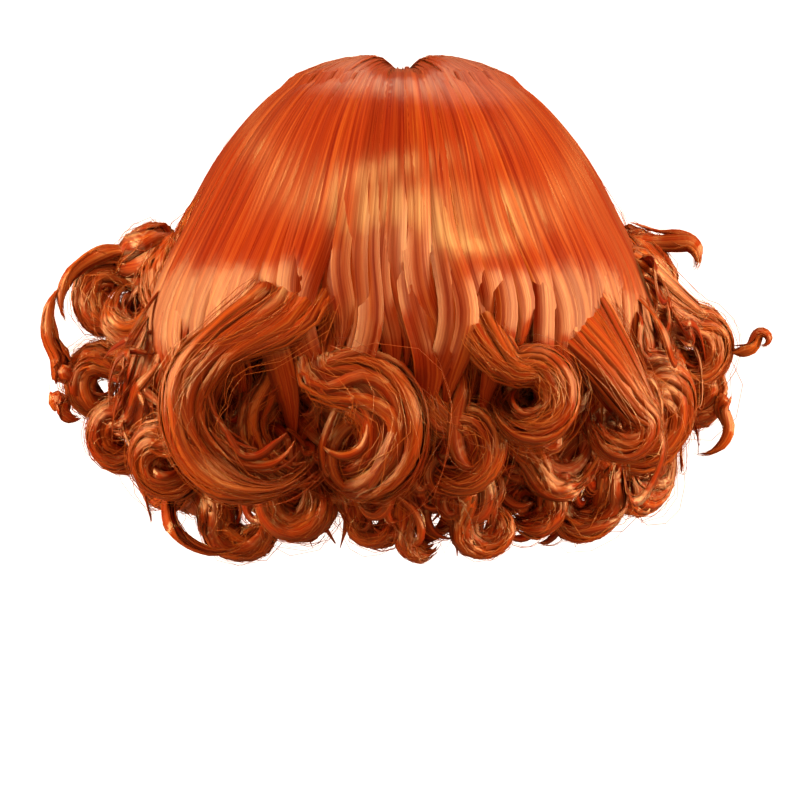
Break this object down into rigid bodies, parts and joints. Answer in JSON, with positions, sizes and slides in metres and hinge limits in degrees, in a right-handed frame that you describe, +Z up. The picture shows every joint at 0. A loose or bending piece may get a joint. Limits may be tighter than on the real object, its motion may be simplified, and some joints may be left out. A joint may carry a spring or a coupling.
{
  "type": "short curly wig",
  "caption": "Short synthetic wig in bright orange, parted on top, with smooth crown hair and loose ringlets at the sides and nape.",
  "frame": {"origin": "the point inside the cap where the top of the head touches it", "axes": "+Z up, +Y towards the wearer's face, +X to the wearer's right"},
  "size_m": [0.3624, 0.2393, 0.2491],
  "materials": {
    "hair": "glossy synthetic fibre",
    "net": "matte elastic net",
    "band": "matte woven band",
    "parting": "matte skin-coloured fabric"
  },
  "bodies": {
    "root": {"cap": "net", "cap_band": "band", "parting_strip": "parting", "base_hair": "hair", "lock_back_left_wave": "hair", "lock_back_middle": "hair", "lock_back_right_ring": "hair", "lock_right_inner": "hair", "lock_right_big": "hair", "lock_left_ring": "hair", "lock_back_right_middle": "hair", "lock_left_far": "hair", "lock_right_far": "hair", "lock_left_puff": "hair", "lock_right_puff": "hair", "lock_left_temple": "hair", "lock_right_temple": "hair", "fringe_left": "hair", "fringe_right": "hair", "curl_back_left_inner": "hair", "curl_left_upper": "hair", "curl_left_middle": "hair", "curl_right_middle": "hair", "curl_right_under": "hair", "curl_nape_hook": "hair", "curl_nape_ring": "hair", "curl_nape_left": "hair", "curl_nape_small": "hair", "curl_nape_right": "hair", "curl_nape_right_outer": "hair", "curl_nape_left_outer": "hair", "curl_left_low": "hair", "curl_right_low": "hair", "curl_left_ear": "hair", "curl_right_ear": "hair", "curl_left_cheek": "hair", "curl_right_cheek": "hair", "wisp_left_fan": "hair", "wisp_left_loop": "hair", "wisp_left_top": "hair", "wisp_right_flick": "hair", "wisp_right_loop": "hair", "wisp_right_low": "hair", "wisp_left_bottom": "hair"}
  },
  "joints": []
}
